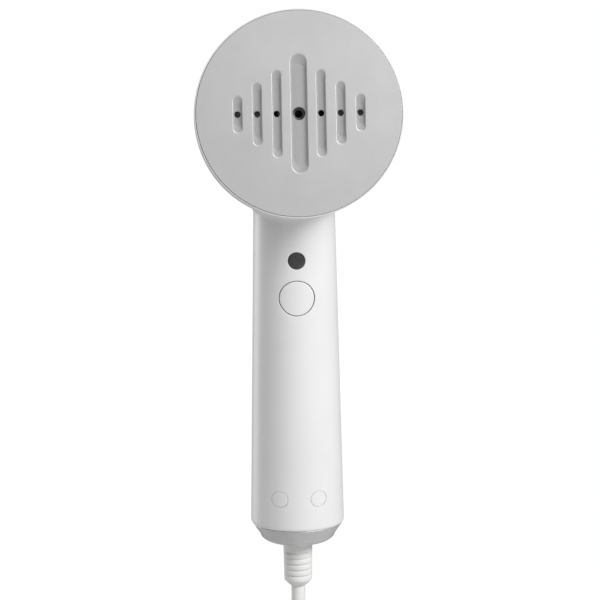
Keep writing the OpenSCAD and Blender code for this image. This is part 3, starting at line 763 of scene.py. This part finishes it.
# ---------------------------------------------------------------- head
def groove_tool(x, half, length):
    """A round-ended tool whose walls lean in and whose ends ramp up to the plate's face."""
    reach = length / 2 - half
    # local y points down, so the first ramp is the upper one
    upper_ramp, lower_ramp = 5, 4

    def drawn_in(point):
        across = x + (point.x - x) * (half - GROOVE_DRAFT) / half
        return Vector((across, point.y - (lower_ramp if point.y > 0 else -upper_ramp), point.z))

    tool = start("groove_tool", bpy.ops.mesh.primitive_circle_add, vertices=50, radius=half, fill_type="NGON")
    shape(tool, lambda point: Vector((point.x + x, point.y + math.copysign(reach, point.y), FACE_Y - 1)))
    with edit(tool, "FACE"):
        bpy.ops.mesh.extrude_region_move(TRANSFORM_OT_translate={"value": (0, 0, 1)})
        bpy.ops.mesh.extrude_region_move(TRANSFORM_OT_translate={"value": (0, 0, GROOVE_DEPTH)})
        move_picked(tool, drawn_in)
        bpy.ops.mesh.select_all(action="SELECT")
        bpy.ops.mesh.normals_make_consistent(inside=False)
    return tool


def hole_tool(x, radius):
    """A round tool that leaves a small chamfer at the groove's floor."""
    floor = FACE_Y + GROOVE_DEPTH
    chamfer = 0.3
    above, past = floor - 0.7, PLATE_BACK_Y + 1
    tool = turned("hole_tool", [(0, above), (radius + chamfer, above), (radius + chamfer, floor),
                                (radius, floor + chamfer), (radius, past), (0, past)], 48)
    tool.location.x = x
    return tool


def make_steam_plate(material):
    """The ironing face: a thick disc with seven graded grooves, each with its steam hole."""
    # half the groove's width, and its hole's radius
    wide, slim = (4.05, 3.15), (2.25, 1.55)
    grooves = [(0, 58.5, wide)]
    for x, length in ((10.8, 42.8), (20.4, 30.8), (30, 18.2)):
        grooves += [(x, length, slim), (-x, length, slim)]
    inside = PLATE_R - 5
    plate = rod("steam_plate_face", PLATE_R, FACE_Y, PLATE_BACK_Y, vertices=180)
    bpy.ops.object.transform_apply(location=True, rotation=False, scale=False)
    for x, length, (half, hole) in grooves:
        cut(plate, groove_tool(x, half, length))
    # the grooves' mouths, the plate's rim, then the foot of the grooves' walls
    rounded = ((0, inside, FACE_Y, 0.25, 3), (inside, PLATE_R + 1, FACE_Y, 0.12, 2),
               (0, inside, FACE_Y + GROOVE_DEPTH, 0.3, 2))
    with edit(plate, "EDGE"):
        for nearest, furthest, depth, width, segments in rounded:
            pick(plate, "edges", lambda middle, edge: nearest < middle.xy.length < furthest
                 and all(abs(v.co.z - depth) < 0.01 for v in edge.verts))
            bpy.ops.mesh.bevel(offset=width, segments=segments, affect="EDGES", clamp_overlap=False)
    for x, length, (half, hole) in grooves:
        cut(plate, hole_tool(x, hole))
    return fit(put(plate, HEAD), "steamer_body", material, "plate_metal", "steam_plate")


def make_head_shell(material):
    """The head's white shell: a thin rounded rim round the plate, and a barrel that narrows to the rear."""
    bore = PLATE_R + 0.12
    lip = (HEAD_R - bore) / 2
    back_edge = 0.4
    neck_r = 16.6
    rows = 24
    back_r = head_r(SHELL_BACK_Y)
    first_y, last_y = RIM_Y + 2, SHELL_BACK_Y - back_edge
    outside_y = [first_y + (last_y - first_y) * i / rows for i in range(rows + 1)]
    inside_y = [DOCK_FLOOR_Y + (SHELF_Y - DOCK_FLOOR_Y) * i / 8 for i in range(9)]
    outline = arc((bore + lip, RIM_Y + lip), lip, 180, 360, 8)
    outline += [(head_r(y), y) for y in outside_y]
    outline += arc((back_r - back_edge, SHELL_BACK_Y - back_edge), back_edge, 20, 90, 3)
    outline += [(back_r - WALL, SHELL_BACK_Y), (back_r - WALL, DOCK_FLOOR_Y)]
    outline += [(head_r(y) - HEAD_WALL, y) for y in inside_y]
    outline += [(bore, SHELF_Y)]
    shell = turned("head_shell_smooth", outline, 144)
    neck_tool = rod("neck_tool", neck_r, 76, 126)
    neck_tool.matrix_world = HEAD.inverted() @ HANDLE @ neck_tool.matrix_world
    # the neck opens into the head only in front of the tank's dock
    keep = block("keep", (-30, -60, -60), (30, 100, DOCK_FLOOR_Y - 2))
    cut(neck_tool, keep, operation="INTERSECT")
    cut(shell, neck_tool)
    return fit(put(shell, HEAD), "steamer_body", material, "white_shell", "head_shell")


def handle_point(angle, s, sink=0.0):
    """A point of the handle's outside; angle 0 is the front, and sink goes inwards."""
    r = handle_r(s) - sink
    return Vector((r * math.sin(angle), -r * math.cos(angle), s))


def above_head_skin(point):
    """How far a point given in the handle's frame is outside the head's skin."""
    world = HANDLE @ point
    return math.hypot(world.x, world.z - HEAD_Z) - head_r(world.y)


def meeting_s(angle):
    """Where the handle's outside meets the head's skin, found by halving, at an angle round the handle."""
    low, high = 85.0, 110.0
    for _ in range(30):
        middle = (low + high) / 2
        if above_head_skin(handle_point(angle, middle)) > 0:
            low = middle
        else:
            high = middle
    return low


def on_head_skin(point, sink):
    """The nearest point of the head's skin, sunk inwards, kept in front of the tank's seam."""
    world = HANDLE @ point
    y = min(world.y, SHELL_BACK_Y - 0.6)
    out = Vector((world.x, world.z - HEAD_Z)).normalized() * (head_r(y) - sink)
    return HANDLE.inverted() @ Vector((out.x, y, out.y + HEAD_Z))


def make_neck_collar(material):
    """The hollow curve in which the handle flows into the head, moulded with the head's shell."""
    around = 120
    along = 8
    reach = 4.0
    collar = start("neck_collar", bpy.ops.mesh.primitive_torus_add, major_segments=around,
                   minor_segments=along + 4)
    places = []
    for i in range(around):
        angle = math.tau * i / around
        s = meeting_s(angle)
        out = Vector((math.sin(angle), -math.cos(angle), 0))
        corner = handle_point(angle, s)
        first = handle_point(angle, s - reach, 0.02)
        last = on_head_skin(corner + out * reach, 0.02)
        for k in range(along + 1):
            t = k / along
            places.append(first * (1 - t) ** 2 + corner * 2 * t * (1 - t) + last * t ** 2)
        places += [on_head_skin(corner + out * reach, 1), handle_point(angle, s + 1, 1.6),
                   handle_point(angle, s - reach, 1)]
    for vertex, place in zip(collar.data.vertices, places):
        vertex.co = place
    with edit(collar):
        bpy.ops.mesh.normals_make_consistent(inside=False)
    return fit(put(collar, HANDLE), "steamer_body", material, "white_shell")


# ---------------------------------------------------------------- handle
# The shell starts as a flat sheet of this many columns. Across its middle, which holds the round holes, a
# place on the sheet is its x on the handle; further out it is the length round the handle.
FACE_HALF = 14
COLUMNS = 66
# From here up the rows are spread so that the top row ends in the head
FIT_FROM_S = 88
SHEET_TOP_S = 97


def flat_half(s):
    """Half the width of the handle's unrolled half shell."""
    r = handle_r(s)
    return FACE_HALF + (math.pi / 2 - math.asin(FACE_HALF / r)) * r - SEAM / 2


def unrolled_angle(t, s):
    """Angle round the handle of the unrolled place t; near the front t is the width itself."""
    r = handle_r(s)
    if abs(t) <= FACE_HALF:
        return math.asin(t / r)
    return math.copysign(math.asin(FACE_HALF / r) + (abs(t) - FACE_HALF) / r, t)


def open_hole(sheet, x, s, radius, window):
    """Opens a round hole in the flat sheet: a square window whose edge is drawn in, ring by ring."""
    centre = Vector((x, s, 0))

    def near(middle, reach):
        return max(abs(middle.x - x), abs(middle.y - s)) < reach

    with edit(sheet, "FACE"):
        pick(sheet, "faces", lambda middle, face: near(middle, window))
        bpy.ops.mesh.delete(type="FACE")
    with edit(sheet, "EDGE"):
        pick(sheet, "edges", lambda middle, edge: edge.is_boundary and near(middle, window + 1))
        for rings_left in (3, 2, 1):
            bpy.ops.mesh.extrude_edges_move(TRANSFORM_OT_translate={"value": (0, 0, 0)})
            move_picked(sheet, lambda point: point.lerp(
                centre + (point - centre).normalized() * radius, 1 / rings_left))


def make_handle_half(name, material, turned_back, holes, node):
    """Half of the handle's shell: a flat sheet with its holes, given its wall, then rolled round.

    Each hole is its x and s, its radius, half its window's width, and the width of its rounded edge.
    """
    foot_rows = 6
    rows = [FOOT_S + FOOT_EDGE_H * (1 - math.cos(math.pi / 2 * i / foot_rows)) for i in range(foot_rows)]
    straight_s = FOOT_S + FOOT_EDGE_H
    plain = round(SHEET_TOP_S - straight_s)
    rows += [straight_s + (SHEET_TOP_S - straight_s) * i / plain for i in range(plain + 1)]
    sheet = start(name, bpy.ops.mesh.primitive_grid_add, size=2, x_subdivisions=COLUMNS,
                  y_subdivisions=len(rows) - 1)

    def flat(point):
        s = rows[round((point.y + 1) / 2 * (len(rows) - 1))]
        return Vector((point.x * flat_half(s), s, 0))

    shape(sheet, flat)
    for x, s, radius, window, edge in holes:
        open_hole(sheet, x, s, radius, window)
    with edit(sheet):
        bpy.ops.mesh.normals_make_consistent(inside=False)
    if sheet.data.polygons[0].normal.z < 0:
        with edit(sheet):
            bpy.ops.mesh.flip_normals()
    modify(sheet, "SOLIDIFY", thickness=WALL, offset=-1)
    with edit(sheet, "EDGE"):
        for x, s, radius, window, edge in holes:
            pick(sheet, "edges", lambda middle, item: abs(middle.z) < 0.01
                 and all(abs(math.hypot(v.co.x - x, v.co.y - s) - radius) < 0.01 for v in item.verts))
            bpy.ops.mesh.bevel(offset=edge, segments=3, affect="EDGES", clamp_overlap=False)
        pick(sheet, "edges", lambda middle, item: abs(middle.z) < 0.01
             and all(abs(v.co.x) > flat_half(v.co.y) - 0.05 for v in item.verts))
        bpy.ops.mesh.bevel(offset=0.22, segments=2, affect="EDGES", clamp_overlap=False)

    def rolled(point):
        t, s, depth = point.x, point.y, -point.z
        angle = unrolled_angle(t, s)
        radius = handle_r(s) + (foot_r(s) - handle_r(s)) * (1 - depth / WALL)
        if s > FIT_FROM_S:
            top = meeting_s(angle + math.pi * turned_back) + 0.8
            s = FIT_FROM_S + (s - FIT_FROM_S) / (SHEET_TOP_S - FIT_FROM_S) * (top - FIT_FROM_S)
            radius = handle_r(s)
        round_part = smoothstep(abs(angle), math.radians(42), math.radians(75))
        inward = Vector((-math.sin(angle) * round_part, 1 - round_part + math.cos(angle) * round_part, 0))
        place = Vector((radius * math.sin(angle), -radius * math.cos(angle), s)) + inward * depth
        return Vector((-place.x, -place.y, place.z)) if turned_back else place

    shape(sheet, rolled)
    return fit(put(sheet, HANDLE), "steamer_body", material, "white_shell", node)


def lay_on_handle(obj, x, s, from_height, flat_height):
    """Lifts what is above from_height so that a flat top lies in the handle's skin."""
    def lifted(point):
        if point.z < from_height:
            return point
        skin = math.sqrt(handle_r(s + point.y) ** 2 - (x + point.x) ** 2)
        return Vector((point.x, point.y, point.z - flat_height + skin))

    shape(obj, lifted)


def domed_top(radius, height, edge, rings):
    """The rounded edge and flat top of a round button, with rings to bend it by."""
    points = arc((radius - edge, height - edge), edge, 0, 90, 3)
    return points + [((radius - edge) * i / rings, height) for i in range(rings - 1, -1, -1)]


def make_steam_button(material):
    """The steam trigger: a flush round button with a flange behind the shell and a stem to the switch."""
    stem_r, flange_r = 2, 10.3
    back, flange_low, flange_high = 12.8, 14.8, 16.0
    top = handle_r(BUTTON_S)
    outline = [(0, back), (stem_r - 0.3, back), (stem_r, back + 0.3), (stem_r, flange_low)]
    outline += [(flange_r, flange_low), (flange_r, flange_high), (BUTTON_R, flange_high)]
    outline += domed_top(BUTTON_R, top, 0.4, 9)
    button = turned("steam_button_cap", outline, 72)
    lay_on_handle(button, 0, BUTTON_S, flange_high + 0.5, top)
    put(button, facing_front(0, BUTTON_S))
    return fit(button, "steam_button", material, "white_shell", "steam_button")


def make_lens(material):
    """The dark indicator window, set a little below the handle's skin."""
    top = handle_r(LENS_S) - 0.35
    outline = [(0, 16.6), (LENS_R, 16.6), *domed_top(LENS_R, top, 0.3, 5)]
    lens = turned("indicator_window", outline, 64)
    lay_on_handle(lens, 0, LENS_S, 17.5, handle_r(LENS_S))
    return fit(put(lens, facing_front(0, LENS_S)), "steamer_body", material, "dark_lens", "indicator_lens")


def make_screw_plugs(material):
    """Two press-in plugs that cover the handle's screws, flush with its skin."""
    plugs = []
    top = handle_r(PLUG_S)
    outline = [(0, 14), (SCREW_PLUG_R - 0.3, 14), (SCREW_PLUG_R, 14.4)]
    outline += domed_top(SCREW_PLUG_R, top, 0.25, 5)
    for x in (-PLUG_X, PLUG_X):
        plug = turned("screw_plug", outline, 48)
        lay_on_handle(plug, x, PLUG_S, 15, top)
        plugs.append(put(plug, facing_front(x, PLUG_S)))
    return fit(joined("screw_plug_pair", plugs), "steamer_body", material, "white_shell", "screw_plugs")


def make_end_cap(material):
    """The silver cap at the foot: a cone below the seam, a rounded base and a spigot inside the handle."""
    seam_r = handle_r(FOOT_S) - FOOT_INSET
    cone_h, cone_r = 6.3, 19.1
    cone_s = FOOT_S - cone_h
    base_r, base_h = 8, CAP_H - cone_h
    cord_hole_r = 6.1
    wall = 2
    spigot_r = handle_r(FOOT_S) - WALL - 0.15
    edge = 0.35
    top_s = FOOT_S - 0.08
    outline = [(seam_r - edge, top_s), *arc((seam_r - edge, top_s - edge), edge, 80, -25, 4)]
    base = [math.radians(90 * i / 10) for i in range(11)]
    outline += [(base_r + (cone_r - base_r) * math.cos(a), cone_s - base_h * math.sin(a)) for a in base]
    outline += [(cord_hole_r, CAP_LOW_S), (cord_hole_r, CAP_LOW_S + wall)]
    outline += [(base_r + (cone_r - base_r - wall) * math.cos(a), cone_s - (base_h - wall) * math.sin(a))
                for a in reversed(base)]
    outline += [(spigot_r - wall, FOOT_S), (spigot_r - wall, FOOT_S + 6.2), (spigot_r - 0.3, FOOT_S + 6.5),
                (spigot_r, FOOT_S + 6.2), (spigot_r, top_s)]
    cap = turned("end_cap_shell", outline, 128)
    return fit(put(cap, HANDLE), "steamer_body", material, "silver_trim", "end_cap")


def make_strain_relief(material):
    """The ribbed cord guard: a gap below the cap, five ring grooves, then a tapered mouth for the cord."""
    top_r, end_r = 7.5, 7.1
    length = 23.1
    gap = 0.9
    low = CAP_LOW_S - length
    bore = CORD_D / 2 + 0.05
    pitch, first = 3.1, 5.6
    flange_r, flange_low, flange_high = 8, CAP_LOW_S + 2, CAP_LOW_S + 3.6
    neck_r = 6

    def skin_r(s):
        return top_r + (end_r - top_r) * (CAP_LOW_S - s) / length

    outline = [(bore, flange_high), (flange_r, flange_high), (flange_r, flange_low), (neck_r, flange_low)]
    outline += [(neck_r, CAP_LOW_S - gap), (top_r - 0.3, CAP_LOW_S - gap), (top_r, CAP_LOW_S - gap - 0.25)]
    for i in range(5):
        s = CAP_LOW_S - first - pitch * i
        r = skin_r(s)
        outline += [(r - 0.05, s + 1.0), (r - 0.25, s + 0.45), (r - 0.8, s + 0.2), (r - 0.85, s - 0.05),
                    (r - 0.35, s - 0.3), (r, s - 0.65)]
    outline += [(end_r, low + 2.8), (end_r - 0.25, low + 2.2), (5.1, low + 0.35), (4.7, low), (bore, low)]
    relief = turned("cord_guard", outline, 72)

    def slotted(point):
        """Fills the grooves at the sides, so that each is a slot in front and one behind."""
        radius = math.hypot(point.x, point.y)
        skin = skin_r(point.z)
        if radius > skin or radius < neck_r + 0.2 or not low + 2.9 < point.z < CAP_LOW_S - 1:
            return point
        filled = 1 - smoothstep(abs(point.y) / radius, 0.2, 0.8)
        grown = (radius + (skin - radius) * filled) / radius
        return Vector((point.x * grown, point.y * grown, point.z))

    shape(relief, slotted)
    return fit(put(relief, HANDLE, smooth=50), "steamer_body", material, "white_rubber", "strain_relief")


# ---------------------------------------------------------------- water tank
# The lid's middle above the head's axis, and its radius
LID_UP = 16
LID_R = 10.6
HINGE = Vector(joints["cap_hinge"]["pos_m"]) / MM
HINGE_Y = HINGE.y
HINGE_UP = HINGE.z - HEAD_Z


def along_hinge(name, radius, half_length):
    """A round tool along X, about the lid's hinge, in the head's frame."""
    tool = rod(name, radius, -half_length, half_length)
    tool.rotation_euler.y = math.pi / 2
    tool.location = (0, -HINGE_UP, HINGE_Y)
    return tool


def make_water_tank(material):
    """The pull-off tank: a smoky cup with a rounded rear edge and a sunk seat for its filler cap."""
    round_r = 12
    nose_seat_r, nose_end_y = 41.85, 5
    edge_y = TANK_BACK_Y - round_r
    edge_r = head_r(edge_y) - round_r
    front = 0.4
    side_y = [TANK_FRONT_Y + (edge_y - TANK_FRONT_Y) * i / 4 for i in range(1, 4)]
    outline = [(nose_seat_r, TANK_FRONT_Y)]
    outline += arc((head_r(TANK_FRONT_Y) - front, TANK_FRONT_Y + front), front, -90, 0, 3)
    outline += [(head_r(y), y) for y in side_y]
    outline += arc((edge_r, edge_y), round_r, 0, 90, 16)
    outline += [(0, TANK_BACK_Y), (0, TANK_BACK_Y - WALL)]
    outline += arc((edge_r, edge_y), round_r - WALL, 90, 0, 12)
    outline += [(head_r(nose_end_y) - WALL, nose_end_y), (nose_seat_r, nose_end_y)]
    tank = turned("water_tank_cup", outline, 144)
    boss = rod("boss", 13.5, TANK_BACK_Y - 6, TANK_BACK_Y - 1, y=-LID_UP)
    shoulder = block("shoulder", (-8, -HINGE_UP - 4.5, TANK_BACK_Y - 6),
                     (8, -HINGE_UP + 5.5, TANK_BACK_Y - 1))
    cut(tank, boss, shoulder, operation="UNION")
    recess = rod("recess", LID_R + 0.8, TANK_BACK_Y - 2, TANK_BACK_Y + 1, y=-LID_UP)
    filler = rod("filler", 7, TANK_BACK_Y - 10, TANK_BACK_Y + 1, y=-LID_UP)
    pocket = block("pocket", (-4.3, -HINGE_UP - 3, HINGE_Y - 2.3), (4.3, -HINGE_UP + 3.7, HINGE_Y + 3.7))
    cut(tank, recess, filler, pocket, along_hinge("pin", 1.02, 6.5))
    return fit(put(tank, HEAD), "water_tank", material, "tank_plastic", "water_tank")


def make_filler_cap(material):
    """The filler's hinged lid: a round plate with a finger notch, an arm and a barrel on the pin."""
    low, high = TANK_BACK_Y - 1.9, TANK_BACK_Y - 0.1
    edge = 0.5
    outline = [(0, low), (LID_R - 0.2, low), (LID_R, low + 0.2)]
    outline += arc((LID_R - edge, high - edge), edge, 0, 90, 3) + [(0, high)]
    lid = turned("filler_lid", outline, 96)
    shape(lid, lambda point: point + Vector((0, -LID_UP, 0)))
    arm = block("arm", (-4, -HINGE_UP, low), (4, -HINGE_UP + 4.5, high))
    cut(lid, arm, along_hinge("barrel", 2, 4), operation="UNION")
    notch_y = LID_R - LID_UP
    notch = block("notch", (-4, notch_y - 2.2, high - 0.8), (4, notch_y - 0.8, high + 1))
    cut(lid, along_hinge("bore", 1.08, 5), notch)
    return fit(put(lid, HEAD), "filler_cap", material, "white_shell", "filler_cap")


# ---------------------------------------------------------------- springs
def let_springs_give():
    """Gives each spring its own copy of its mesh."""
    for name, moved_by in (("button_spring", "button_press"), ("pump_spring", "piston_stroke"),
                           ("valve_spring", "valve_lift")):
        spring = frame["nodes"][name]
        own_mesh(spring)


# ---------------------------------------------------------------- the whole steamer
make_camera()
make_light()
make_floor()

white = satin_abs()
pvc = white_pvc()
rubber = black_silicone()
silver = silver_paint()
smoked = smoked_acrylic()
tank_plastic = smoky_polycarbonate()
blade_metal = nickel_plated_brass()
plate_metal = blasted_aluminium()

finish_cad_nodes({
    "plate_metal": plate_metal, "white_shell": white, "silver_trim": silver, "dark_lens": smoked,
    "tank_plastic": tank_plastic, "white_rubber": pvc, "steel": zinc_plated_steel(),
    "cast_block": raw_cast_aluminium(), "element_sheath": heat_browned_steel(), "silicone": milky_silicone(),
    "black_rubber": rubber, "black_plastic": black_phenolic(), "natural_plastic": natural_nylon(),
    "circuit_board": solder_mask(), "copper_winding": enamelled_copper(), "led_resin": clear_epoxy(),
    "wire_insulation": wire_pvc(), "blade_brass": blade_metal,
})

make_cord(pvc, [make_plug(pvc), make_blades(blade_metal), make_tie(rubber)])
make_steam_plate(plate_metal)
make_head_shell(white)
make_neck_collar(white)
make_handle_half("handle_front_shell", white, False, [
    (0, BUTTON_S, BUTTON_R + 0.4, 11, 0.35), (0, LENS_S, LENS_R + 0.06, 6, 0.3),
    (-PLUG_X, PLUG_S, SCREW_PLUG_R + 0.1, 6, 0.22), (PLUG_X, PLUG_S, SCREW_PLUG_R + 0.1, 6, 0.22),
], "handle_front")
make_handle_half("handle_rear_shell", white, True, [], "handle_rear")
make_steam_button(white)
make_lens(smoked)
make_screw_plugs(white)
make_end_cap(silver)
make_strain_relief(pvc)
make_water_tank(tank_plastic)
make_filler_cap(white)
let_springs_give()
